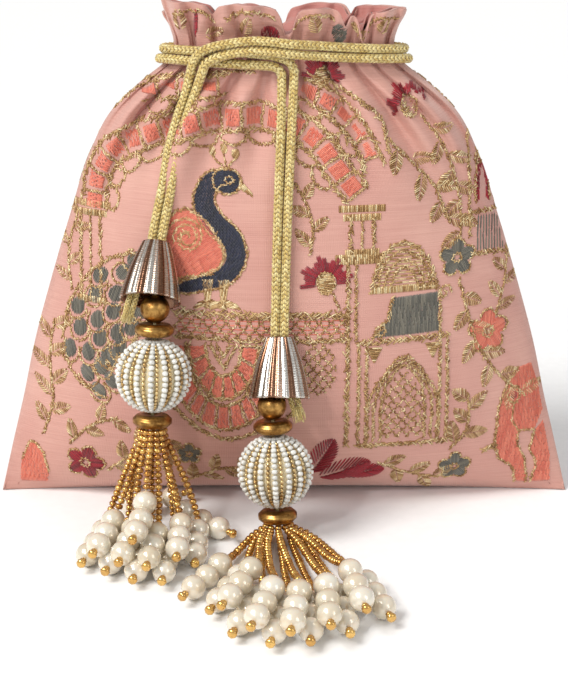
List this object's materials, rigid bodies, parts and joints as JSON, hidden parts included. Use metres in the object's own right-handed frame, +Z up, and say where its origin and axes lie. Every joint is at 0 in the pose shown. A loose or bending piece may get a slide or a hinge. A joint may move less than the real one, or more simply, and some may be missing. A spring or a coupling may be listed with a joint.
{
  "type": "potli bag",
  "caption": "Gathered drawstring pouch of embroidered silk with a lining, twin drawcords and beaded pearl tassels, standing drawn closed.",
  "frame": {"origin": "middle of the flat base that the pouch stands on", "axes": "+X to the right seen from the front, +Y from the front face to the back face, +Z up through the neck"},
  "size_m": [0.21, 0.1736, 0.1795],
  "materials": {
    "silk": "salmon pink dupion silk with zari and silk thread embroidery",
    "lining": "plain satin lining",
    "cord": "round braided pale gold cord",
    "cap_metal": "pleated cap in silver and copper tones",
    "antique_gold": "antique gold plated beads",
    "bead_core": "cream core bead",
    "seed_beads": "white and gold lined seed beads in rows",
    "thread": "waxed beading thread",
    "pearls": "cream pearl beads on gold lined seed rope"
  },
  "bodies": {
    "bag": {"front_panel": "silk", "back_panel": "silk", "lining": "lining", "drawcord_a": "cord", "drawcord_b": "cord"},
    "tassel_left": {"left_tail_1": "cord", "left_tail_2": "cord", "left_cone_cap": "cap_metal", "left_cord_tuft": "cord", "left_gold_bead": "antique_gold", "left_upper_disc": "antique_gold", "left_lower_disc": "antique_gold", "left_ball_core": "bead_core", "left_ball_beading": "seed_beads", "left_core_thread": "thread", "left_strand_1": "pearls", "left_strand_2": "pearls", "left_strand_3": "pearls", "left_strand_4": "pearls", "left_strand_5": "pearls", "left_strand_6": "pearls", "left_strand_7": "pearls", "left_strand_8": "pearls", "left_strand_9": "pearls"},
    "tassel_right": {"right_tail_1": "cord", "right_tail_2": "cord", "right_cone_cap": "cap_metal", "right_cord_tuft": "cord", "right_gold_bead": "antique_gold", "right_upper_disc": "antique_gold", "right_lower_disc": "antique_gold", "right_ball_core": "bead_core", "right_ball_beading": "seed_beads", "right_core_thread": "thread", "right_strand_1": "pearls", "right_strand_2": "pearls", "right_strand_3": "pearls", "right_strand_4": "pearls", "right_strand_5": "pearls", "right_strand_6": "pearls", "right_strand_7": "pearls", "right_strand_8": "pearls"}
  },
  "joints": [
    {"name": "left_tassel_swing", "type": "hinge", "parent": "bag", "child": "tassel_left", "pos_m": [-0.0294, -0.019, 0.1571], "axis": [-1, 0, 0], "range_deg": [0, 50]},
    {"name": "right_tassel_swing", "type": "hinge", "parent": "bag", "child": "tassel_right", "pos_m": [0.0013, -0.0199, 0.156], "axis": [-1, 0, 0], "range_deg": [0, 50]}
  ]
}
